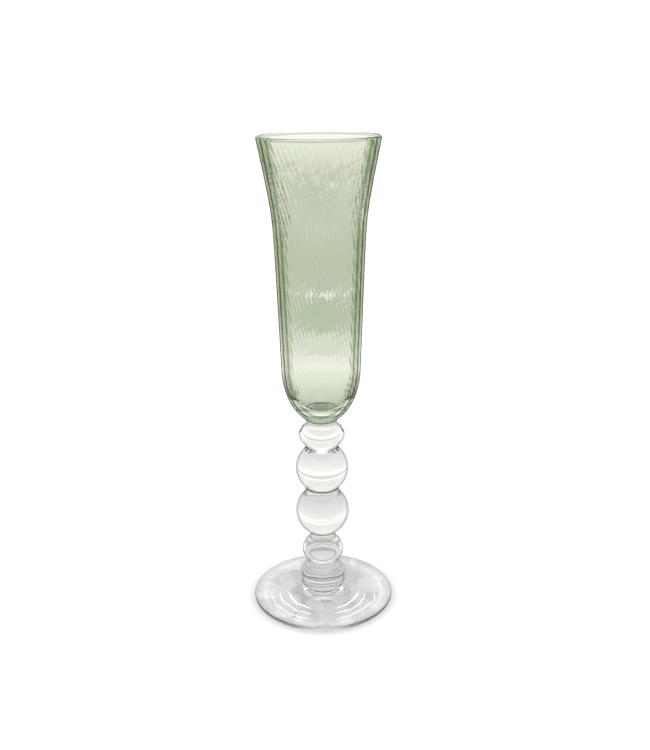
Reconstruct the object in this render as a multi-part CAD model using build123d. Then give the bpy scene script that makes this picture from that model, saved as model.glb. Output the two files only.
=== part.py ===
from build123d import *
import math
import os

# A hand-made champagne flute: a thin green bowl on a stem of clear glass knops and a
# wide clear foot. Each piece is a gather of glass, turned about the Z axis and fused to
# the next on one flat round face, so the pieces meet face to face from the foot upwards.
# Millimetres. The origin is the middle of the ring that the foot stands on, +Z is up.

# Heights of the fused faces, and of the rim.
FOOT_TOP = 7.2
COLLAR_TOP = 21.4
RING_TOP = 23.6
LOWER_SMALL_TOP = 36.6
LOWER_BALL_TOP = 64.9
WAIST_TOP = 69.3
UPPER_BALL_TOP = 91.5
UPPER_SMALL_TOP = 106.0
MERESE_TOP = 109.9
TOTAL_HEIGHT = 260.0

# Foot: a thin disc that rises a little to the stem and is domed underneath.
FOOT_RADIUS = 39.9
FOOT_EDGE = 2.2
REST_OUTER = FOOT_RADIUS - FOOT_EDGE / 2
REST_INNER = 34.5
DOME_HEIGHT = 2.4
DOME_EASE = 6.0
DOME_EASE_RISE = 0.4
# The two points, as radius and height, that bend the top of the foot.
SLOPE_OUTER = (27.0, 3.0)
SLOPE_INNER = (17.0, 4.0)

# Base collar: a short drum with a narrow undercut below it and rounded ridges above it.
COLLAR_RADIUS = 12.4
UNDERCUT_DEPTH = 0.6
UNDERCUT_HEIGHT = 1.0
RIDGE_COUNT = 3
RIDGE_HEIGHT = 1.6
RIDGE_STEP = 0.85
RIDGE_BULGE = 0.35

# Stem ring: a rounded disc above the collar.
RING_RADIUS = 9.8
RING_FACE_RADIUS = 9.1

# Knops: middle height, largest radius and, where it is not a ball, the half height.
LOWER_SMALL_MIDDLE = 29.5
LOWER_SMALL_RADIUS = 11.7
LOWER_SMALL_HALF = 9.2
LOWER_BALL_MIDDLE = 54.0
LOWER_BALL_RADIUS = 14.9
LOWER_NECK_RADIUS = 7.3
LOWER_NECK_HEIGHT = 3.0
LOWER_NECK_END = 42.5
UPPER_BALL_MIDDLE = 80.4
UPPER_BALL_RADIUS = 14.7
UPPER_SMALL_MIDDLE = 100.4
UPPER_SMALL_RADIUS = 12.7
UPPER_SMALL_HALF = 7.9
UPPER_NECK_RADIUS = 7.4
# How far the lower cone of the upper small knop runs out and up before it rounds off,
# and how far below the middle the rounding starts.
TAPER_RUN = (3.6, 4.9)
TAPER_ROUNDING = 2.4

# Waist ring between the two balls, and the merese under the bowl: both slightly hollow.
WAIST_RADIUS = 9.8
MERESE_RADIUS = 8.9
HOLLOW = 0.25

# Bowl: an ellipsoid below its belly, a gentle cone above it, and a flare to the rim.
WALL = 1.4
LIP_HEIGHT = 0.7
BASE_THICKNESS = 3.0
BELLY_HEIGHT = 138.5
BELLY_RADIUS = 21.3
BELLY_DEPTH = 31.5
CONE_SLOPE = 0.0325
FLARE_HEIGHT = 222.0
FLARE_SOFTNESS = 9.0
RIM_RADIUS = 31.5
WALL_SPANS = 8

# Spans of the smooth curve that stands for an ellipse.
SIDE_SPANS = 6


def turned(*edges):
    """Turn the outline of a piece about the axis.

    The edges run in order up the outside, given as radius and height. Straight lines
    close them to the axis and along it.
    """
    start = edges[0] @ 0
    end = edges[-1] @ 1
    core = Polyline((end.X, end.Y), (0, end.Y), (0, start.Y), (start.X, start.Y))
    return revolve(Plane.XZ * make_face(Curve() + [*edges, core]), Axis.Z)


def ellipsoid_side(low, high, middle, radius, half_height):
    """Side of an upright ellipsoid between two heights."""
    start = math.asin((low - middle) / half_height)
    end = math.asin((high - middle) / half_height)
    angles = [start + (end - start) * i / SIDE_SPANS for i in range(SIDE_SPANS + 1)]
    points = [(radius * math.cos(a), middle + half_height * math.sin(a)) for a in angles]
    ends = [(-radius * math.sin(a), half_height * math.cos(a)) for a in (start, end)]
    return Spline(points, tangents=ends)


def ball_side(low, high, middle, radius):
    """Side of a ball between two heights."""
    start = math.degrees(math.asin((low - middle) / radius))
    end = math.degrees(math.asin((high - middle) / radius))
    return CenterArc((0, middle), radius, start, end - start)


def hollow_side(low, high, radius):
    """Side of a ring whose middle is slightly narrower than its ends."""
    return ThreePointArc((radius, low), (radius - HOLLOW, (low + high) / 2), (radius, high))


def make_foot():
    dome = Bezier(
        (0, DOME_HEIGHT),
        (REST_INNER / 2, DOME_HEIGHT),
        (REST_INNER - DOME_EASE, DOME_EASE_RISE),
        (REST_INNER, 0),
    )
    rest = Line((REST_INNER, 0), (REST_OUTER, 0))
    edge = ThreePointArc((REST_OUTER, 0), (FOOT_RADIUS, FOOT_EDGE / 2), (REST_OUTER, FOOT_EDGE))
    top = Bezier((REST_OUTER, FOOT_EDGE), SLOPE_OUTER, SLOPE_INNER, (COLLAR_RADIUS, FOOT_TOP))
    lid = Line((COLLAR_RADIUS, FOOT_TOP), (0, FOOT_TOP))
    core = Line((0, FOOT_TOP), (0, DOME_HEIGHT))
    return revolve(Plane.XZ * make_face(Curve() + [dome, rest, edge, top, lid, core]), Axis.Z)


def make_base_collar():
    drum_top = COLLAR_TOP - RIDGE_COUNT * RIDGE_HEIGHT
    drum_bottom = FOOT_TOP + UNDERCUT_HEIGHT
    neck = Line((COLLAR_RADIUS - UNDERCUT_DEPTH, FOOT_TOP), (COLLAR_RADIUS, drum_bottom))
    drum = Line((COLLAR_RADIUS, drum_bottom), (COLLAR_RADIUS, drum_top))
    edges = [neck, drum]
    for i in range(RIDGE_COUNT):
        low = drum_top + i * RIDGE_HEIGHT
        crest = COLLAR_RADIUS - (i + 1) * RIDGE_STEP
        valley = crest - RIDGE_BULGE
        edges.append(Line(edges[-1] @ 1, (valley, low)))
        edges.append(
            ThreePointArc((valley, low), (crest, low + RIDGE_HEIGHT / 2), (valley, low + RIDGE_HEIGHT))
        )
    return turned(*edges)


def make_stem_ring():
    middle = (COLLAR_TOP + RING_TOP) / 2
    return turned(
        ThreePointArc((RING_FACE_RADIUS, COLLAR_TOP), (RING_RADIUS, middle), (RING_FACE_RADIUS, RING_TOP))
    )


def make_lower_small_knop():
    return turned(
        ellipsoid_side(RING_TOP, LOWER_SMALL_TOP, LOWER_SMALL_MIDDLE, LOWER_SMALL_RADIUS, LOWER_SMALL_HALF)
    )


def make_lower_ball_knop():
    ball = ball_side(LOWER_NECK_END, LOWER_BALL_TOP, LOWER_BALL_MIDDLE, LOWER_BALL_RADIUS)
    neck_top = LOWER_SMALL_TOP + LOWER_NECK_HEIGHT
    neck = Line((LOWER_NECK_RADIUS, LOWER_SMALL_TOP), (LOWER_NECK_RADIUS, neck_top))
    throat = Spline(neck @ 1, ball @ 0, tangents=[neck % 1, ball % 0])
    return turned(neck, throat, ball)


def make_waist_ring():
    return turned(hollow_side(LOWER_BALL_TOP, WAIST_TOP, WAIST_RADIUS))


def make_upper_ball_knop():
    return turned(ball_side(WAIST_TOP, UPPER_BALL_TOP, UPPER_BALL_MIDDLE, UPPER_BALL_RADIUS))


def make_upper_small_knop():
    shoulder = ellipsoid_side(
        UPPER_SMALL_MIDDLE, UPPER_SMALL_TOP, UPPER_SMALL_MIDDLE, UPPER_SMALL_RADIUS, UPPER_SMALL_HALF
    )
    taper = Bezier(
        (UPPER_NECK_RADIUS, UPPER_BALL_TOP),
        (UPPER_NECK_RADIUS + TAPER_RUN[0], UPPER_BALL_TOP + TAPER_RUN[1]),
        (UPPER_SMALL_RADIUS, UPPER_SMALL_MIDDLE - TAPER_ROUNDING),
        (UPPER_SMALL_RADIUS, UPPER_SMALL_MIDDLE),
    )
    return turned(taper, shoulder)


def make_merese():
    return turned(hollow_side(UPPER_SMALL_TOP, MERESE_TOP, MERESE_RADIUS))


def flare_reach(height):
    """How far a height lies past the start of the flare, eased in by a hyperbola."""
    past = height - FLARE_HEIGHT
    return (past + math.hypot(past, FLARE_SOFTNESS)) / 2


def wall_radius(height):
    """Outside radius of the bowl above its belly."""
    lip = TOTAL_HEIGHT - LIP_HEIGHT
    cone = BELLY_RADIUS + CONE_SLOPE * (height - BELLY_HEIGHT)
    cone_at_lip = BELLY_RADIUS + CONE_SLOPE * (lip - BELLY_HEIGHT)
    return cone + (RIM_RADIUS - cone_at_lip) * flare_reach(height) / flare_reach(lip)


def make_bowl():
    lip = TOTAL_HEIGHT - LIP_HEIGHT
    heights = [BELLY_HEIGHT + (lip - BELLY_HEIGHT) * i / WALL_SPANS for i in range(1, WALL_SPANS + 1)]
    outside = [(BELLY_RADIUS, BELLY_HEIGHT)] + [(wall_radius(z), z) for z in heights]
    inside = [(radius - WALL, z) for radius, z in outside]
    floor = MERESE_TOP + BASE_THICKNESS
    belly = ellipsoid_side(MERESE_TOP, BELLY_HEIGHT, BELLY_HEIGHT, BELLY_RADIUS, BELLY_DEPTH)
    outer_wall = Spline(outside)
    rim = ThreePointArc(outside[-1], (RIM_RADIUS - WALL / 2, TOTAL_HEIGHT), inside[-1])
    inner_wall = Spline(inside[::-1])
    well = ellipsoid_side(floor, BELLY_HEIGHT, BELLY_HEIGHT, BELLY_RADIUS - WALL, BELLY_HEIGHT - floor)
    core = Line((0, floor), (0, MERESE_TOP))
    base = Line((0, MERESE_TOP), belly @ 0)
    outline = Curve() + [belly, outer_wall, rim, inner_wall, well, core, base]
    return revolve(Plane.XZ * make_face(outline), Axis.Z)


os.makedirs("parts", exist_ok=True)
PIECES = {
    "foot": make_foot,
    "base_collar": make_base_collar,
    "stem_ring": make_stem_ring,
    "lower_small_knop": make_lower_small_knop,
    "lower_ball_knop": make_lower_ball_knop,
    "waist_ring": make_waist_ring,
    "upper_ball_knop": make_upper_ball_knop,
    "upper_small_knop": make_upper_small_knop,
    "merese": make_merese,
    "bowl": make_bowl,
}
for name, make in PIECES.items():
    piece = make()
    export_step(piece, f"parts/{name}.step")
    print(name, round(piece.volume), "mm3")
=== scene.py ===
import math
import random

import bpy
from mathutils import Matrix, Vector


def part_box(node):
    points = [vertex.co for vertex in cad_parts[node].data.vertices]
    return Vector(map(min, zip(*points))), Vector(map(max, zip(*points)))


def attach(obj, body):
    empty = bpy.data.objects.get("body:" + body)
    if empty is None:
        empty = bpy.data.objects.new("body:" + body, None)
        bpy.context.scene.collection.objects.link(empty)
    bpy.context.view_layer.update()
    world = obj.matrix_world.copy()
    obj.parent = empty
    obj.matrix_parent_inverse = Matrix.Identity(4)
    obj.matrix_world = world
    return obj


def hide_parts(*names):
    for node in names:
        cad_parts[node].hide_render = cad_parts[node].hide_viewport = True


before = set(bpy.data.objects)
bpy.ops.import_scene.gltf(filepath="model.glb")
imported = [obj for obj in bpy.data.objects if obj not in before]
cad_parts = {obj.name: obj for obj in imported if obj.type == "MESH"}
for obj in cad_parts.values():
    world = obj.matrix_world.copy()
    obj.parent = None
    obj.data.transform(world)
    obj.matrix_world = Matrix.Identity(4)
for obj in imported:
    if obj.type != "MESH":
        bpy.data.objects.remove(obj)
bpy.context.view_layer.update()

# ---------------------------------------------------------------------------
# Driving sizes, in metres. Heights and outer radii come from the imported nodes.
# ---------------------------------------------------------------------------
MM = 0.001
STEM_SEGMENTS = 160
FOOT_SEGMENTS = 192
PROFILE_STEP = 0.35 * MM
BODY = "root"

# Bowl wall and its optic ribs.
WALL = 1.4 * MM
BOWL_FLOOR = 3.0 * MM
BELLY_ABOVE_BASE = 28.6 * MM
BELLY_RADIUS = 21.3 * MM
BELLY_DEPTH = 31.5 * MM
CONE_SLOPE = 0.0325
FLARE_ABOVE_BASE = 112.1 * MM
FLARE_SOFTNESS = 9.0 * MM
LIP_HEIGHT = 0.7 * MM
RIB_COUNT = 58
SEGMENTS_PER_RIB = 8
RIB_OUTSIDE = 0.022 * MM
RIB_INSIDE = 0.017 * MM
RIB_TWIST = 12.0
RIB_FADE_AT_RIM = 4.0 * MM
RIB_START = 4.0 * MM
RIB_FULL = 26.0 * MM
# Under the flare the ribs swell: by how much on either skin, where, and how far up and down.
RIB_SWELL = 4.0
RIB_SWELL_INSIDE = 3.2
RIB_SWELL_BELOW_RIM = 34.0 * MM
RIB_SWELL_REACH = 11.0 * MM
# Each rib is a little deeper or shallower than the next.
RIB_UNEVENNESS = 0.2
RIB_SEED = 7
# Mean height of a wave of the ribs, taken off so that the wall stays where it is.
RIB_MEAN_WAVE = 1.27
# Short streaks under the flare: (distance below the rim, share of their height).
STREAK_BAND = [
    (44.0 * MM, 0.0),
    (36.0 * MM, 1.0),
    (22.0 * MM, 1.0),
    (12.0 * MM, 0.0),
]
STREAK_HEIGHT = 0.36 * MM
STREAK_SCALE = 430.0
STREAK_STRETCH = 0.18
# How far the thick glass reaches up from the bottom of the bowl, outside and inside, and the
# deeper green pool in the middle of its floor.
THICK_BASE = 4.5 * MM
THICK_FLOOR = 8.0 * MM
POOL_RADIUS = 5.2 * MM
# How level the look is that the bowl's tints are set for: the cosine of about 14 degrees.
LOOK_LEVEL = 0.97
# The merese reaches this far into the bowl, and the painted shade line at a joint is this high.
JOINT_OVERLAP = 0.05 * MM
SEAM_HEIGHT = 0.7 * MM
# The collars of the stem are this much slimmer at half height.
COLLAR_WAIST = 0.25 * MM

# Rows of points up the bowl's wall, and steps around its lip.
WALL_ROWS = 96
LIP_STEPS = 8
# Two faces that meet at more than this angle, in degrees, are shaded with an edge.
SHARP_ANGLE = 32

# How many bands of the foot's profile, outwards from the inside of the rest ring, are worn.
REST_BANDS = 4


def node_sizes(node):
    """Bottom height, top height and outer radius of a CAD node."""
    low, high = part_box(node)
    return low.z, high.z, high.x


# ---------------------------------------------------------------------------
# Profiles: lists of (radius, height) points
# ---------------------------------------------------------------------------
def ellipse_points(low, high, middle, radius, half_height):
    """Side of an upright ellipsoid between two heights."""
    start = math.asin((low - middle) / half_height)
    end = math.asin((high - middle) / half_height)
    count = max(4, round(abs(end - start) * max(radius, half_height) / PROFILE_STEP))
    angles = [start + (end - start) * i / count for i in range(count + 1)]
    return [(radius * math.cos(a), middle + half_height * math.sin(a)) for a in angles]


def bezier_points(p0, p1, p2, p3, count=24):
    """Cubic curve through two ends, bent towards two points."""
    points = []
    for i in range(count + 1):
        t = i / count
        weights = ((1 - t) ** 3, 3 * t * (1 - t) ** 2, 3 * t * t * (1 - t), t ** 3)
        mixed = [sum(w * p[k] for w, p in zip(weights, (p0, p1, p2, p3))) for k in (0, 1)]
        points.append(tuple(mixed))
    return points


def arc_points(start, bulge, end, count=12):
    """Shallow arc from start to end that stands out by bulge from its chord."""
    points = []
    for i in range(count + 1):
        t = i / count
        out = bulge * math.sin(math.pi * t)
        radius = start[0] + (end[0] - start[0]) * t + out
        points.append((radius, start[1] + (end[1] - start[1]) * t))
    return points


def lathe(name, profile, segments, slots, shape=None, twist=None):
    """Closed mesh turned about Z from a profile whose two ends lie on the axis.

    slots gives the material slot of each band, counted along the profile, that isn't slot 0.
    shape moves each point: it takes radius, height and the turn around the axis before
    twisting, and gives the radius. twist gives the angle that a height is turned by.
    """
    verts = [(0.0, 0.0, profile[0][1])]
    rings = profile[1:-1]
    for radius, height in rings:
        turned = twist(height) if twist else 0.0
        for s in range(segments):
            around = 2 * math.pi * s / segments
            r = shape(radius, height, around) if shape else radius
            angle = around + turned
            verts.append((r * math.cos(angle), r * math.sin(angle), height))
    verts.append((0.0, 0.0, profile[-1][1]))
    last = len(verts) - 1
    faces, face_slots = [], []
    for s in range(segments):
        faces.append((0, 1 + (s + 1) % segments, 1 + s))
        face_slots.append(slots.get(0, 0))
    for ring in range(len(rings) - 1):
        a = 1 + ring * segments
        b = a + segments
        for s in range(segments):
            n = (s + 1) % segments
            faces.append((a + s, a + n, b + n, b + s))
            face_slots.append(slots.get(ring + 1, 0))
    top = 1 + (len(rings) - 1) * segments
    for s in range(segments):
        faces.append((top + s, top + (s + 1) % segments, last))
        face_slots.append(slots.get(len(rings), 0))
    mesh = bpy.data.meshes.new(name)
    mesh.from_pydata(verts, [], faces)
    mesh.polygons.foreach_set("use_smooth", [True] * len(faces))
    mesh.polygons.foreach_set("material_index", face_slots)
    mesh.set_sharp_from_angle(angle=math.radians(SHARP_ANGLE))
    mesh.update()
    piece = bpy.data.objects.new(name, mesh)
    bpy.context.scene.collection.objects.link(piece)
    return piece


# ---------------------------------------------------------------------------
# Materials
# ---------------------------------------------------------------------------
def new_material(name):
    """A material with an empty node tree and its output."""
    material = bpy.data.materials.new(name)
    material.use_nodes = True
    tree = material.node_tree
    tree.nodes.clear()
    output = tree.nodes.new("ShaderNodeOutputMaterial")
    return material, tree, output


def feed(tree, socket, value):
    """Give a socket a plain number or colour, or link it to another node's output."""
    if isinstance(value, (int, float, tuple)):
        socket.default_value = value
    else:
        tree.links.new(value, socket)


def math_node(tree, operation, first, second=None):
    """Result of a sum on one or two values."""
    node = tree.nodes.new("ShaderNodeMath")
    node.operation = operation
    feed(tree, node.inputs[0], first)
    if second is not None:
        feed(tree, node.inputs[1], second)
    return node.outputs["Value"]


def ramp_node(tree, value, stops):
    """Colour that value has on a ramp of stops (value, red, green, blue), or (value, grey)."""
    first, last = stops[0][0], stops[-1][0]
    scaled = tree.nodes.new("ShaderNodeMapRange")
    scaled.inputs["From Min"].default_value = first
    scaled.inputs["From Max"].default_value = last
    tree.links.new(value, scaled.inputs["Value"])
    ramp = tree.nodes.new("ShaderNodeValToRGB")
    tree.links.new(scaled.outputs["Result"], ramp.inputs["Fac"])
    elements = ramp.color_ramp.elements
    while len(elements) < len(stops):
        elements.new(0.5)
    for element, (at, *colour) in zip(elements, stops):
        element.position = (at - first) / (last - first)
        colour = colour * 3 if len(colour) == 1 else colour
        element.color = (*colour, 1.0)
    return ramp.outputs["Color"]


def mixed_colour(tree, how, share, first, second):
    """Two colours mixed, added or multiplied."""
    mix = tree.nodes.new("ShaderNodeMix")
    mix.data_type = "RGBA"
    mix.blend_type = how
    feed(tree, mix.inputs["Factor"], share)
    feed(tree, mix.inputs["A"], first)
    feed(tree, mix.inputs["B"], second)
    return mix.outputs["Result"]


def blend(tree, value, between, below, above):
    """Colour that goes smoothly from below to above as value crosses the given range."""
    share = tree.nodes.new("ShaderNodeMapRange")
    share.interpolation_type = "SMOOTHSTEP"
    start, end = between
    share.inputs["From Min"].default_value = start
    share.inputs["From Max"].default_value = end
    tree.links.new(value, share.inputs["Value"])
    return mixed_colour(tree, "MIX", share.outputs["Result"], below, above)


def even_normal(tree, place):
    """The bowl's own roundness without its ribs: an ellipsoid below the belly, a tube above."""
    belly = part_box("bowl")[0].z + BELLY_ABOVE_BASE
    across, upright = BELLY_RADIUS ** -2, BELLY_DEPTH ** -2
    vector = place
    for operation, value in (
        ("SUBTRACT", (0.0, 0.0, belly)),
        ("MINIMUM", (1.0, 1.0, 0.0)),
        ("MULTIPLY", (across, across, upright)),
        ("NORMALIZE", None),
    ):
        node = tree.nodes.new("ShaderNodeVectorMath")
        node.operation = operation
        tree.links.new(vector, node.inputs[0])
        if value:
            node.inputs[1].default_value = value
        vector = node.outputs["Vector"]
    return vector


def facing_node(tree, normal=None):
    """How far the surface, or the given normal, turns away from the light's path: 0 to 1."""
    weight = tree.nodes.new("ShaderNodeLayerWeight")
    weight.inputs["Blend"].default_value = 0.5
    if normal:
        tree.links.new(normal, weight.inputs["Normal"])
    return weight.outputs["Facing"]


def turned_sideways(tree, facing):
    """The same measure as from facing_node, scaled for a wall that is seen from a little above."""
    across = math_node(tree, "DIVIDE", math_node(tree, "SUBTRACT", 1.0, facing), LOOK_LEVEL)
    return math_node(tree, "SUBTRACT", 1.0, across)


def streak_height(tree, place):
    """Height of the short upright streaks in the skin under the flare of the bowl."""
    stretch = tree.nodes.new("ShaderNodeVectorMath")
    stretch.operation = "MULTIPLY"
    stretch.inputs[1].default_value = (1.0, 1.0, STREAK_STRETCH)
    tree.links.new(place, stretch.inputs[0])
    streaks = tree.nodes.new("ShaderNodeTexNoise")
    streaks.inputs["Scale"].default_value = STREAK_SCALE
    tree.links.new(stretch.outputs["Vector"], streaks.inputs["Vector"])
    split = tree.nodes.new("ShaderNodeSeparateXYZ")
    tree.links.new(place, split.inputs["Vector"])
    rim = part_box("bowl")[1].z
    band = ramp_node(tree, split.outputs["Z"], [(rim - below, share) for below, share in STREAK_BAND])
    banded = math_node(tree, "MULTIPLY", streaks.outputs["Fac"], band)
    return math_node(tree, "MULTIPLY", banded, STREAK_HEIGHT)


def glass(name, tint, roughness, ripple_scale, ripple_height, edge=None, even=False, streaked=False):
    """Transparent glass, with the faint ripples that hand work leaves on its skin.

    tint lists (how far the surface turns away, red, green, blue): light that crosses it
    slantwise goes a longer way in the glass, and the darker stops towards the outline are also
    painted shade. edge gives (how far, share) stops and the matt colour of a painted dark
    outline on glass that is seen edge on. even leaves the bowl's ribs out of both.
    streaked adds the short streaks under the flare.
    """
    material, tree, output = new_material(name)
    shader = tree.nodes.new("ShaderNodeBsdfPrincipled")
    shader.inputs["Transmission Weight"].default_value = 1.0
    shader.inputs["IOR"].default_value = GLASS_IOR
    shader.inputs["Roughness"].default_value = roughness
    place = tree.nodes.new("ShaderNodeTexCoord")
    ripples = tree.nodes.new("ShaderNodeTexNoise")
    ripples.inputs["Scale"].default_value = ripple_scale
    ripples.inputs["Detail"].default_value = 2.0
    bump = tree.nodes.new("ShaderNodeBump")
    bump.inputs["Strength"].default_value = 1.0
    bump.inputs["Distance"].default_value = 1.0
    if even:
        facing = turned_sideways(tree, facing_node(tree, even_normal(tree, place.outputs["Object"])))
    else:
        facing = facing_node(tree)
    tree.links.new(place.outputs["Object"], ripples.inputs["Vector"])
    height = math_node(tree, "MULTIPLY", ripples.outputs["Fac"], ripple_height)
    if streaked:
        height = math_node(tree, "ADD", height, streak_height(tree, place.outputs["Object"]))
    tree.links.new(height, bump.inputs["Height"])
    tree.links.new(bump.outputs["Normal"], shader.inputs["Normal"])
    # The tint darkens towards the outline: partly the longer way through the glass, partly painted
    # shade.
    tree.links.new(ramp_node(tree, facing, tint), shader.inputs["Base Color"])
    surface = shader.outputs["BSDF"]
    # Painted dark outline: a matt dark colour mixed in where the glass is seen edge on.
    if edge:
        shares, colour = edge
        dark = tree.nodes.new("ShaderNodeBsdfDiffuse")
        dark.inputs["Color"].default_value = (*colour, 1.0)
        mix = tree.nodes.new("ShaderNodeMixShader")
        share = ramp_node(tree, facing, shares)
        if even:
            share = math_node(tree, "MULTIPLY", share, LOOK_LEVEL ** 2)
        tree.links.new(share, mix.inputs["Fac"])
        tree.links.new(surface, mix.inputs[1])
        tree.links.new(dark.outputs["BSDF"], mix.inputs[2])
        surface = mix.outputs["Shader"]
    tree.links.new(surface, output.inputs["Surface"])
    return material


def fused_face():
    """The face where two gathers are melted together, which doesn't show."""
    material, tree, output = new_material("fused_face")
    clear = tree.nodes.new("ShaderNodeBsdfTransparent")
    tree.links.new(clear.outputs["BSDF"], output.inputs["Surface"])
    return material


GLASS_IOR = 1.5

# Tints: (how far the surface turns away, red, green, blue). Their darkening towards the outline is
# partly the longer way through the glass and partly painted shade. The narrow dark bands of the
# green one are painted shade: thin dark lines that follow the bowl's outline inside its sides.
GREEN_TINT_AND_PAINTED_LINES = [
    (0.0, 0.820, 0.852, 0.772),
    (0.38, 0.820, 0.852, 0.772),
    (0.42, 0.20, 0.27, 0.12),
    (0.46, 0.20, 0.27, 0.12),
    (0.50, 0.66, 0.76, 0.50),
    (0.55, 0.56, 0.67, 0.40),
    (0.58, 0.03, 0.045, 0.015),
    (0.645, 0.03, 0.045, 0.015),
    (0.68, 0.50, 0.63, 0.36),
    (0.76, 0.56, 0.69, 0.42),
    (0.80, 0.05, 0.07, 0.03),
    (1.0, 0.02, 0.03, 0.01),
]
# The inner skin lacks the painted dark contour, so that a look into the mouth shows a light wall.
INSIDE_TINT_AND_PAINTED_LINES = [*GREEN_TINT_AND_PAINTED_LINES[:-2], (1.0, 0.50, 0.63, 0.36)]
# Deeper green of the thick glass near the bottom; its near-black stops from 0.80 on are a painted dark
# outline.
BASE_TINT_AND_PAINTED_OUTLINE = [
    (0.0, 0.80, 0.85, 0.75),
    (0.45, 0.74, 0.83, 0.68),
    (0.60, 0.54, 0.73, 0.46),
    (0.74, 0.40, 0.61, 0.31),
    (0.80, 0.05, 0.08, 0.03),
    (1.0, 0.02, 0.03, 0.01),
]
POOL_TINT = [
    (0.0, 0.46, 0.63, 0.38),
    (0.6, 0.28, 0.45, 0.21),
    (0.75, 0.22, 0.39, 0.16),
    (1.0, 0.10, 0.15, 0.06),
]
# Clear glass that turns nearly black towards its outline: painted shade.
STEM_TINT_AND_PAINTED_SHADE = [
    (0.0, 0.985, 0.985, 0.975),
    (0.50, 0.985, 0.985, 0.975),
    (0.62, 0.62, 0.62, 0.61),
    (0.74, 0.22, 0.22, 0.215),
    (0.86, 0.07, 0.07, 0.065),
    (1.0, 0.03, 0.03, 0.03),
]
# Clear glass that turns grey towards its outline: painted shade.
FOOT_TINT_AND_PAINTED_SHADE = [
    (0.0, 0.98, 0.98, 0.97),
    (0.62, 0.98, 0.98, 0.97),
    (0.80, 0.82, 0.82, 0.81),
    (1.0, 0.55, 0.55, 0.54),
]
# Darker towards the outline: partly the longer way through the glass, partly painted shade.
RIM_TINT_AND_PAINTED_SHADE = [
    (0.0, 0.97, 0.98, 0.95),
    (0.7, 0.94, 0.96, 0.91),
    (1.0, 0.40, 0.44, 0.34),
]
# Nearly black glass for the seams: painted shade in the crease where two gathers meet.
SEAM_SHADE_TINT = [
    (0.0, 0.025, 0.025, 0.023),
    (1.0, 0.015, 0.015, 0.013),
]
GREEN_SEAM_SHADE_TINT = [
    (0.0, 0.05, 0.08, 0.035),
    (1.0, 0.03, 0.05, 0.02),
]
# Painted dark contours: (how far the surface turns away, share of the painted matt dark colour).
GREEN_PAINTED_OUTLINE = [
    (0.0, 0.0),
    (0.575, 0.0),
    (0.59, 0.55),
    (0.62, 0.55),
    (0.635, 0.08),
    (0.78, 0.12),
    (0.81, 0.96),
    (1.0, 1.0),
]
BASE_PAINTED_OUTLINE = [
    (0.0, 0.0),
    (0.76, 0.0),
    (0.79, 0.88),
    (1.0, 0.94),
]
STEM_PAINTED_OUTLINE = [
    (0.0, 0.0),
    (0.84, 0.0),
    (0.90, 0.55),
    (1.0, 0.80),
]
PAINTED_EDGE_GREEN = (0.050, 0.090, 0.010)
PAINTED_EDGE_GREY = (0.07, 0.07, 0.065)
GREEN_PAINTED_EDGE = (GREEN_PAINTED_OUTLINE, PAINTED_EDGE_GREEN)
BASE_PAINTED_EDGE = (BASE_PAINTED_OUTLINE, PAINTED_EDGE_GREEN)
CLEAR_PAINTED_EDGE = (STEM_PAINTED_OUTLINE, PAINTED_EDGE_GREY)

# Each glass: name, tint, roughness, scale of its ripples and their height.
GREEN_GLASS = glass(
    "green_bowl_glass", GREEN_TINT_AND_PAINTED_LINES, 0.0, 90.0, 0.002 * MM, edge=GREEN_PAINTED_EDGE, even=True, streaked=True
)
INSIDE_GLASS = glass("green_bowl_inside", INSIDE_TINT_AND_PAINTED_LINES, 0.0, 90.0, 0.002 * MM, even=True, streaked=True)
BASE_GLASS = glass("green_base_edge", BASE_TINT_AND_PAINTED_OUTLINE, 0.0, 160.0, 0.05 * MM, edge=BASE_PAINTED_EDGE, even=True)
POOL_GLASS = glass("bowl_floor_pool", POOL_TINT, 0.0, 700.0, 0.45 * MM, even=True)
RIM_GLASS = glass("fire_polished_rim", RIM_TINT_AND_PAINTED_SHADE, 0.0, 300.0, 0.01 * MM)
GREEN_SEAM_SHADE = glass("green_seam_painted_shade", GREEN_SEAM_SHADE_TINT, 0.10, 700.0, 0.01 * MM)
STEM_GLASS = glass("clear_stem_glass", STEM_TINT_AND_PAINTED_SHADE, 0.0, 60.0, 0.01 * MM, edge=CLEAR_PAINTED_EDGE)
SEAM_SHADE_GLASS = glass("stem_seam_painted_shade", SEAM_SHADE_TINT, 0.10, 700.0, 0.01 * MM)
FOOT_GLASS = glass("clear_foot_glass", FOOT_TINT_AND_PAINTED_SHADE, 0.0, 40.0, 0.01 * MM)
REST_GLASS = glass("worn_foot_rest", FOOT_TINT_AND_PAINTED_SHADE, 0.35, 900.0, 0.02 * MM)
FUSED = fused_face()

# Slots of the bowl's glasses, after the outer skin's slot 0.
BOWL_GLASSES = (GREEN_GLASS, BASE_GLASS, POOL_GLASS, GREEN_SEAM_SHADE, RIM_GLASS, INSIDE_GLASS)
BASE_SLOT, POOL_SLOT, GREEN_SEAM_SLOT, RIM_SLOT, INSIDE_SLOT = range(1, len(BOWL_GLASSES))
# Slots of a piece of the stem, and of the foot, after the clear glass in slot 0.
FUSED_SLOT, SEAM_SLOT, REST_SLOT = 1, 2, 2


def finish_piece(piece, node, slot, *materials):
    """Give a piece its materials, attach it to the body and hide the CAD node that it replaces."""
    for material in materials:
        piece.data.materials.append(material)
    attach(piece, BODY)
    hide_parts(node)


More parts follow.
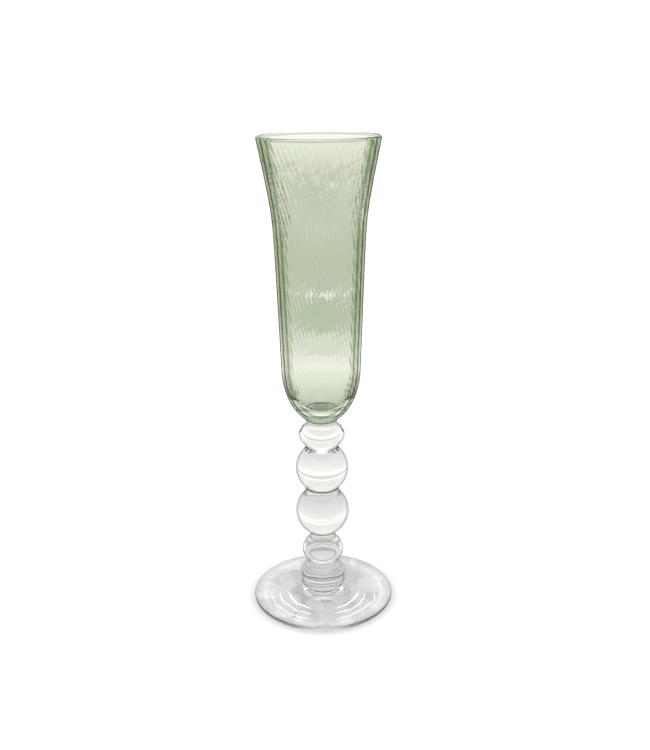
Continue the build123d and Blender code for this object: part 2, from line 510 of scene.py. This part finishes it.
# ---------------------------------------------------------------------------
# The object
# ---------------------------------------------------------------------------
def make_bowl():
    base, rim, _ = node_sizes("bowl")
    belly = base + BELLY_ABOVE_BASE
    flare = base + FLARE_ABOVE_BASE
    lip = rim - LIP_HEIGHT
    rim_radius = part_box("bowl")[1].x

    def reach(height):
        """How far a height lies above the flare's start, which begins softly."""
        past = height - flare
        return (past + math.hypot(past, FLARE_SOFTNESS)) / 2

    def wall_radius(height):
        """Outer radius above the belly: a slight cone that flares out to the rim."""
        cone = BELLY_RADIUS + CONE_SLOPE * (height - belly)
        cone_at_lip = BELLY_RADIUS + CONE_SLOPE * (lip - belly)
        return cone + (rim_radius - cone_at_lip) * reach(height) / reach(lip)

    heights = [belly + (lip - belly) * i / WALL_ROWS for i in range(1, WALL_ROWS + 1)]
    floor = base + BOWL_FLOOR
    outside = ellipse_points(base, belly, belly, BELLY_RADIUS, BELLY_DEPTH)
    outside += [(wall_radius(z), z) for z in heights]
    inside = ellipse_points(floor, belly, belly, BELLY_RADIUS - WALL, belly - floor)
    inside += [(wall_radius(z) - WALL, z) for z in heights]
    lip_middle = rim_radius - WALL / 2
    lip_points = []
    for i in range(1, LIP_STEPS):
        angle = math.pi * i / LIP_STEPS
        lip_points.append((lip_middle + WALL / 2 * math.cos(angle), lip + LIP_HEIGHT * math.sin(angle)))
    profile = [(0.0, base)] + outside + lip_points + inside[:0:-1] + [(0.0, floor)]

    def middle_radius(height):
        """Middle of the wall, which tells the outer skin from the inner one."""
        if height > belly:
            return wall_radius(height) - WALL / 2
        depth = (belly - height) / BELLY_DEPTH
        return BELLY_RADIUS * math.sqrt(max(0.0, 1 - depth * depth)) - WALL / 2

    chance = random.Random(RIB_SEED)
    rib_sizes = [1 + chance.uniform(-RIB_UNEVENNESS, RIB_UNEVENNESS) for _ in range(RIB_COUNT)]

    def ribbed(radius, height, around):
        """Radius with the rounded ribs, which both skins follow, a little deeper outside."""
        rise = min(1.0, max(0.0, (height - base - RIB_START) / RIB_FULL))
        fade = min(1.0, max(0.0, (rim - height) / RIB_FADE_AT_RIM))
        rib = rib_sizes[round(RIB_COUNT * around / (2 * math.pi)) % RIB_COUNT]
        wave = 2 * rib * abs(math.cos(RIB_COUNT * around / 2)) - RIB_MEAN_WAVE
        away = (rim - height - RIB_SWELL_BELOW_RIM) / RIB_SWELL_REACH
        near_flare = math.exp(-away * away)
        if radius > middle_radius(height):
            size = RIB_OUTSIDE * (1 + RIB_SWELL * near_flare)
        else:
            size = RIB_INSIDE * (1 + RIB_SWELL_INSIDE * near_flare)
        return radius + size * wave * rise * fade

    def twist(height):
        """Angle that the ribs have turned by at a height."""
        return -RIB_TWIST * (height - base)

    slots = {}
    for band, ((radius, height), _) in enumerate(zip(profile, profile[1:])):
        # Just above the base, at the joint with the merese: the seam's painted shade.
        if 0 < band < len(outside) and height < base + SEAM_HEIGHT:
            slots[band] = GREEN_SEAM_SLOT
        elif band < len(outside) and height < base + THICK_BASE:
            slots[band] = BASE_SLOT
        elif band > len(outside) and radius < POOL_RADIUS:
            slots[band] = POOL_SLOT
        elif band > len(outside) and height < floor + THICK_FLOOR:
            slots[band] = BASE_SLOT
        elif height >= lip:
            slots[band] = RIM_SLOT
        elif band > len(outside):
            slots[band] = INSIDE_SLOT
    bowl = lathe("bowl_glass", profile, RIB_COUNT * SEGMENTS_PER_RIB, slots, ribbed, twist)
    finish_piece(bowl, "bowl", "green_bowl_glass", *BOWL_GLASSES)


def stem_piece(name, node, side, seam=None, top_sealed=True, seam_shade_glass=SEAM_SHADE_GLASS):
    """A clear gather with a fused face below its side, and above it where top_sealed.

    seam gives the two heights between which a darker line of painted shade marks a joint.
    """
    profile = [(0.0, side[0][1]), *side, (0.0, side[-1][1])]
    slots = {0: FUSED_SLOT}
    if top_sealed:
        slots[len(side)] = FUSED_SLOT
    for band in range(1, len(side)):
        middle = (profile[band][1] + profile[band + 1][1]) / 2
        if seam and seam[0] < middle < seam[1]:
            slots[band] = SEAM_SLOT
    piece = lathe(name, profile, STEM_SEGMENTS, slots)
    finish_piece(piece, node, "clear_stem_glass", STEM_GLASS, FUSED, seam_shade_glass)


def make_merese():
    low, high, radius = node_sizes("merese")
    side = arc_points((radius, low), -COLLAR_WAIST, (radius, high + JOINT_OVERLAP))
    stem_piece("merese_glass", "merese", side, (high - SEAM_HEIGHT, high), False, GREEN_SEAM_SHADE)


def make_upper_small_knop():
    low, high, radius = node_sizes("upper_small_knop")
    middle = low + 8.9 * MM
    half_height = 7.9 * MM
    neck = 7.4 * MM
    neck_bend = (neck + 3.6 * MM, low + 4.9 * MM)
    middle_bend = (radius, middle - 2.4 * MM)
    side = bezier_points((neck, low), neck_bend, middle_bend, (radius, middle))
    side += ellipse_points(middle, high, middle, radius, half_height)[1:]
    stem_piece("upper_small_knop_glass", "upper_small_knop", side)


def make_upper_ball_knop():
    low, high, radius = node_sizes("upper_ball_knop")
    side = ellipse_points(low, high, (low + high) / 2, radius, radius)
    stem_piece("upper_ball_knop_glass", "upper_ball_knop", side)


def make_waist_ring():
    low, high, radius = node_sizes("waist_ring")
    side = arc_points((radius, low), -COLLAR_WAIST, (radius, high))
    stem_piece("waist_ring_glass", "waist_ring", side, (high - SEAM_HEIGHT, high))


def make_lower_ball_knop():
    low, high, radius = node_sizes("lower_ball_knop")
    middle = low + 17.4 * MM
    neck = 7.3 * MM
    neck_top = low + 3.0 * MM
    neck_bend = low + 4.2 * MM
    throat_top = low + 5.9 * MM
    seam = low + 4.6 * MM
    ball = ellipse_points(throat_top, high, middle, radius, radius)
    r, z = ball[0]
    # The throat runs into the ball along the ball's own slope.
    lean = Vector((middle - z, r)).normalized() * 2.5 * MM
    throat = bezier_points((neck, neck_top), (neck, neck_bend), (r - lean.x, z - lean.y), (r, z), 8)
    side = [(neck, low), (neck, low + 1.5 * MM), *throat, *ball[1:]]
    stem_piece("lower_ball_knop_glass", "lower_ball_knop", side, (seam, seam + SEAM_HEIGHT))


def make_lower_small_knop():
    low, high, radius = node_sizes("lower_small_knop")
    middle = low + 5.9 * MM
    half_height = 9.2 * MM
    side = ellipse_points(low, high, middle, radius, half_height)
    stem_piece("lower_small_knop_glass", "lower_small_knop", side)


def make_stem_ring():
    low, high, radius = node_sizes("stem_ring")
    bulge = 0.7 * MM
    face = radius - bulge
    side = arc_points((face, low), bulge, (face, high))
    stem_piece("stem_ring_glass", "stem_ring", side)


def make_base_collar():
    low, high, radius = node_sizes("base_collar")
    ridges = 3
    ridge_height = 1.6 * MM
    step = 0.85 * MM
    bulge = 0.35 * MM
    drum_rows = 12
    drum_low = 1.0 * MM
    drum_top = high - ridges * ridge_height
    side = [(radius - 0.6 * MM, low), (radius - 0.3 * MM, low + 0.5 * MM), (radius, low + drum_low)]
    for i in range(1, drum_rows + 1):
        side.append((radius, low + drum_low + (drum_top - low - drum_low) * i / drum_rows))
    for i in range(ridges):
        valley = radius - (i + 1) * step - bulge
        z = drum_top + i * ridge_height
        side += arc_points((valley, z), bulge, (valley, z + ridge_height), 8)
    stem_piece("base_collar_glass", "base_collar", side, (low, low + SEAM_HEIGHT))


def make_foot():
    low, high, radius = node_sizes("foot")
    edge = 2.2 * MM
    dome = 2.4 * MM
    edge_steps = 16
    face_rows = 60
    rest_outer = radius - edge / 2
    rest_inner = 34.5 * MM
    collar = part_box("base_collar")[1].x
    dome_bend = (rest_inner / 2, low + dome)
    rest_bend = (rest_inner - 6 * MM, low + 0.4 * MM)
    under = bezier_points((0.0, low + dome), dome_bend, rest_bend, (rest_inner, low), face_rows)
    rim = []
    for i in range(edge_steps + 1):
        angle = -math.pi / 2 + math.pi * i / edge_steps
        z = low + edge / 2 + edge / 2 * math.sin(angle)
        rim.append((rest_outer + edge / 2 * math.cos(angle), z))
    edge_bend = (27 * MM, low + 3 * MM)
    collar_bend = (17 * MM, low + 4 * MM)
    top = bezier_points((rest_outer, low + edge), edge_bend, collar_bend, (collar, high), face_rows)
    profile = [*under, *rim, *top[1:], (0.0, high)]
    slots = {len(profile) - 2: FUSED_SLOT}
    slots.update({len(under) - 1 + i: REST_SLOT for i in range(REST_BANDS)})
    foot = lathe("foot_glass", profile, FOOT_SEGMENTS, slots)
    finish_piece(foot, "foot", "clear_foot_glass", FOOT_GLASS, FUSED, REST_GLASS)


make_bowl()
make_merese()
make_upper_small_knop()
make_upper_ball_knop()
make_waist_ring()
make_lower_ball_knop()
make_lower_small_knop()
make_stem_ring()
make_base_collar()
make_foot()


# ---------------------------------------------------------------------------
# Stage, light and camera
# ---------------------------------------------------------------------------
FLOOR_RADIUS = 0.38
FLOOR_CORNERS = 96
# The floor lies this far below the foot, so that the two faces don't touch.
FLOOR_GAP = 0.15 * MM
# Brightness of the room between 30 and 42 degrees up.
CEILING = 1.25
WHITE = (1.0, 1.0, 1.0, 1.0)
BLACK = (0.0, 0.0, 0.0, 1.0)

# What the glass sees of the room: (elevation in degrees, red, green, blue).
ROOM_BY_ELEVATION = [
    (-90.0, 0.80, 0.80, 0.79),
    (-45.0, 0.84, 0.84, 0.83),
    (-20.0, 1.30, 1.22, 1.30),
    (-3.0, 1.06, 1.06, 1.04),
    (-1.5, 0.90, 0.90, 0.88),
    (6.0, 0.88, 0.88, 0.86),
    (14.0, 0.93, 0.93, 0.91),
    (24.0, 1.00, 1.00, 0.98),
    (30.0, CEILING, CEILING, CEILING),
    (42.0, CEILING, CEILING, CEILING),
    (50.0, 0.25, 0.25, 0.25),
    (90.0, 0.30, 0.30, 0.30),
]
# Between these two elevations the room has light and dark bands with sharp edges, which the
# bowl shows as its zones and its zigzag line. They have a ramp of their own, as a ramp has
# limited detail, and it is switched in over a narrow range.
BACKDROP_LOW = -20.0
BACKDROP_HIGH = -3.0
BACKDROP_SWITCH = 0.02
BACKDROP_BY_ELEVATION = [
    (-20.0, 1.30, 1.22, 1.30),
    (-19.0, 1.30, 1.22, 1.30),
    (-18.5, 1.24, 1.17, 1.24),
    (-17.60, 1.20, 1.16, 1.19),
    (-17.52, 0.97, 0.97, 0.96),
    (-16.05, 0.96, 0.98, 0.95),
    (-15.97, 0.62, 0.69, 0.57),
    (-14.30, 0.62, 0.69, 0.57),
    (-13.72, 0.66, 0.70, 0.62),
    (-13.66, 1.16, 1.18, 1.11),
    (-13.46, 1.16, 1.18, 1.11),
    (-13.40, 0.68, 0.72, 0.63),
    (-9.5, 0.76, 0.79, 0.71),
    (-7.2, 0.70, 0.72, 0.62),
    (-6.4, 0.74, 0.76, 0.67),
    (-5.3, 0.94, 0.93, 0.90),
    (-4.0, 1.14, 1.14, 1.12),
    (-3.6, 1.14, 1.14, 1.12),
    (-3.0, 1.06, 1.06, 1.04),
]
# What the glass sees of the floor is painted light and shade, darker at and around the foot where
# its shadow falls and brighter further out: (distance from the axis in metres, brightness). The list
# under the foot holds up to FOOT_SWITCH, and the list by distance past it.
PAINTED_LIGHT_UNDER_FOOT = [
    (0.0, 0.60),
    (0.0250, 0.62),
    (0.0320, 0.74),
    (0.0345, 0.88),
    (0.0370, 0.80),
    (0.0420, 0.46),
]
# Random blocks paint squarish patches of light and shade into the floor that the glass sees,
# which show in the foot as its squarish patches: (chance, share of the brightness).
PAINTED_PATCHES_UNDER_FOOT = [
    (0.0, 0.80),
    (0.36, 0.86),
    (0.37, 0.97),
    (0.60, 1.0),
    (0.61, 1.05),
    (1.0, 1.10),
]
BLOCK_SCALE = 120.0
# Bright rings stand for the light that the stem gathers: (distance from the axis, brightness).
# They wave a little, and they fade towards the back, in Y, and close to the middle, in X.
RINGS_UNDER_FOOT = [
    (0.0, 0.0),
    (0.0191, 0.0),
    (0.0194, 1.0),
    (0.0200, 1.0),
    (0.0203, 0.0),
    (0.0247, 0.0),
    (0.0250, 0.8),
    (0.0254, 0.8),
    (0.0257, 0.0),
    (0.0300, 0.0),
    (0.0303, 0.5),
    (0.0306, 0.5),
    (0.0309, 0.0),
]
RING_WAVES = 5.0 * MM
RING_WAVE_SCALE = 110.0
RINGS_FADE_BACK = (-9.0 * MM, 0.0)
RINGS_FADE_MIDDLE = (6.0 * MM, 9.0 * MM)
FOOT_SWITCH = (41.9 * MM, 42.0 * MM)
# Painted light and shade: darkest just outside the foot, brighter further out.
PAINTED_LIGHT_BY_DISTANCE = [
    (0.0, 0.46),
    (0.042, 0.46),
    (0.054, 0.42),
    (0.060, 0.66),
    (0.10, 0.75),
    (0.15, 0.83),
    (0.21, 0.91),
    (0.26, 0.98),
    (0.31, 1.05),
    (0.34, 1.10),
    (0.365, 1.14),
    (FLOOR_RADIUS, 1.15),
]
# What the camera sees: the paper's own colour and glow, and the background.
PAPER = 0.42
PAPER_GLOW = 0.80
BACKGROUND = 1.1
# The soft shade on the paper right around the foot: (distance from the axis, share of the light).
FOOT_SHADE = [
    (0.0385, 0.62),
    (0.0400, 0.68),
    (0.0412, 0.76),
    (0.0435, 0.86),
    (0.0460, 0.95),
    (0.0500, 1.0),
]
SOFTBOX_PLACE = Vector((0.0, 0.15, 1.1))
SOFTBOX_AIM = Vector((0.0, 0.0, 0.1))
SOFTBOX_SIZE = 0.9
SOFTBOX_POWER = 2.6
# The camera: lens and sensor in millimetres, pitch and roll in degrees, place to the right in
# metres, and its distance in front of the axis and height in heights of the flute.
CAMERA_LENS = 42.67
CAMERA_SENSOR = 36.0
CAMERA_PITCH = 18.7
CAMERA_ROLL = -0.51
CAMERA_ASIDE = 0.0021
CAMERA_BACK = 1.75
CAMERA_UP = 1.11


def camera_sees(tree, seen, otherwise, output):
    """Show seen to the camera and otherwise to every other ray."""
    path = tree.nodes.new("ShaderNodeLightPath")
    mix = tree.nodes.new("ShaderNodeMixShader")
    tree.links.new(path.outputs["Is Camera Ray"], mix.inputs["Fac"])
    tree.links.new(otherwise, mix.inputs[1])
    tree.links.new(seen, mix.inputs[2])
    tree.links.new(mix.outputs["Shader"], output.inputs["Surface"])


def paper_shader(tree, distance):
    """What the camera sees of the floor: pale paper with a soft shade around the foot."""
    shade = ramp_node(tree, distance, FOOT_SHADE)
    paper = tree.nodes.new("ShaderNodeBsdfDiffuse")
    shaded = mixed_colour(tree, "MULTIPLY", 1.0, shade, (PAPER, PAPER, PAPER, 1.0))
    tree.links.new(shaded, paper.inputs["Color"])
    lit = tree.nodes.new("ShaderNodeEmission")
    lit.inputs["Strength"].default_value = PAPER_GLOW
    tree.links.new(shade, lit.inputs["Color"])
    bright = tree.nodes.new("ShaderNodeAddShader")
    tree.links.new(paper.outputs["BSDF"], bright.inputs[0])
    tree.links.new(lit.outputs["Emission"], bright.inputs[1])
    return bright.outputs["Shader"]


def rings_under_foot(tree, position, distance):
    """Bright wavy rings in front of the stem."""
    waves = tree.nodes.new("ShaderNodeTexNoise")
    waves.inputs["Scale"].default_value = RING_WAVE_SCALE
    tree.links.new(position, waves.inputs["Vector"])
    swing = math_node(tree, "SUBTRACT", waves.outputs["Fac"], 0.5)
    waved = math_node(tree, "ADD", distance, math_node(tree, "MULTIPLY", swing, RING_WAVES))
    rings = ramp_node(tree, waved, RINGS_UNDER_FOOT)
    split = tree.nodes.new("ShaderNodeSeparateXYZ")
    tree.links.new(position, split.inputs["Vector"])
    rings = blend(tree, split.outputs["Y"], RINGS_FADE_BACK, rings, BLACK)
    aside = math_node(tree, "ABSOLUTE", split.outputs["X"])
    return blend(tree, aside, RINGS_FADE_MIDDLE, BLACK, rings)


def painted_floor_light_shader(tree, position, distance):
    """What the glass sees of the floor: painted light and shade, brighter further out, with blocks and
    rings near the foot.
    """
    blocks = tree.nodes.new("ShaderNodeTexVoronoi")
    blocks.distance = "CHEBYCHEV"
    blocks.inputs["Scale"].default_value = BLOCK_SCALE
    tree.links.new(position, blocks.inputs["Vector"])
    shares = ramp_node(tree, blocks.outputs["Color"], PAINTED_PATCHES_UNDER_FOOT)
    near = mixed_colour(tree, "MULTIPLY", 1.0, ramp_node(tree, distance, PAINTED_LIGHT_UNDER_FOOT), shares)
    far = ramp_node(tree, distance, PAINTED_LIGHT_BY_DISTANCE)
    plain = blend(tree, distance, FOOT_SWITCH, near, far)
    glow = tree.nodes.new("ShaderNodeEmission")
    rings = rings_under_foot(tree, position, distance)
    tree.links.new(mixed_colour(tree, "ADD", 1.0, plain, rings), glow.inputs["Color"])
    return glow.outputs["Emission"]


def make_floor():
    corners = [2 * math.pi * i / FLOOR_CORNERS for i in range(FLOOR_CORNERS)]
    verts = [(FLOOR_RADIUS * math.cos(a), FLOOR_RADIUS * math.sin(a), -FLOOR_GAP) for a in corners]
    mesh = bpy.data.meshes.new("floor")
    mesh.from_pydata(verts, [], [tuple(range(len(verts)))])
    floor = bpy.data.objects.new("floor", mesh)
    bpy.context.scene.collection.objects.link(floor)
    material, tree, output = new_material("floor_paper")
    position = tree.nodes.new("ShaderNodeNewGeometry").outputs["Position"]
    length = tree.nodes.new("ShaderNodeVectorMath")
    length.operation = "LENGTH"
    tree.links.new(position, length.inputs[0])
    distance = length.outputs["Value"]
    camera_sees(tree, paper_shader(tree, distance), painted_floor_light_shader(tree, position, distance), output)
    mesh.materials.append(material)


def make_world():
    world = bpy.data.worlds.new("studio")
    bpy.context.scene.world = world
    world.use_nodes = True
    tree = world.node_tree
    tree.nodes.clear()
    output = tree.nodes.new("ShaderNodeOutputWorld")
    place = tree.nodes.new("ShaderNodeTexCoord")
    split = tree.nodes.new("ShaderNodeSeparateXYZ")
    tree.links.new(place.outputs["Generated"], split.inputs["Vector"])
    radians = math_node(tree, "ARCSINE", split.outputs["Z"])
    elevation = math_node(tree, "MULTIPLY", radians, 180 / math.pi)
    room = ramp_node(tree, elevation, ROOM_BY_ELEVATION)
    backdrop = ramp_node(tree, elevation, BACKDROP_BY_ELEVATION)
    light = blend(tree, elevation, (BACKDROP_LOW - BACKDROP_SWITCH, BACKDROP_LOW), room, backdrop)
    light = blend(tree, elevation, (BACKDROP_HIGH, BACKDROP_HIGH + BACKDROP_SWITCH), light, room)
    studio = tree.nodes.new("ShaderNodeBackground")
    tree.links.new(light, studio.inputs["Color"])
    white = tree.nodes.new("ShaderNodeBackground")
    white.inputs["Color"].default_value = WHITE
    white.inputs["Strength"].default_value = BACKGROUND
    camera_sees(tree, white.outputs["Background"], studio.outputs["Background"], output)


def make_softbox():
    light = bpy.data.lights.new("overhead_softbox", "AREA")
    light.shape = "DISK"
    light.size = SOFTBOX_SIZE
    light.energy = SOFTBOX_POWER
    lamp = bpy.data.objects.new("overhead_softbox", light)
    lamp.location = SOFTBOX_PLACE
    lamp.rotation_euler = (SOFTBOX_AIM - SOFTBOX_PLACE).to_track_quat("-Z", "Y").to_euler()
    bpy.context.scene.collection.objects.link(lamp)


def make_camera():
    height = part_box("bowl")[1].z
    camera = bpy.data.cameras.new("camera")
    camera.sensor_fit = "VERTICAL"
    camera.sensor_height = CAMERA_SENSOR
    camera.lens = CAMERA_LENS
    eye = bpy.data.objects.new("camera", camera)
    bpy.context.scene.collection.objects.link(eye)
    down = Matrix.Rotation(math.pi / 2 - math.radians(CAMERA_PITCH), 4, "X")
    turn = down @ Matrix.Rotation(math.radians(CAMERA_ROLL), 4, "Z")
    place = Vector((CAMERA_ASIDE, -CAMERA_BACK * height, CAMERA_UP * height))
    eye.matrix_world = Matrix.Translation(place) @ turn
    bpy.context.scene.camera = eye


make_floor()
make_world()
make_softbox()
make_camera()

scene = bpy.context.scene
scene.view_settings.view_transform = "Standard"
scene.cycles.max_bounces = 24
scene.cycles.transmission_bounces = 24
scene.cycles.transparent_max_bounces = 32
scene.cycles.glossy_bounces = 8
scene.cycles.diffuse_bounces = 3
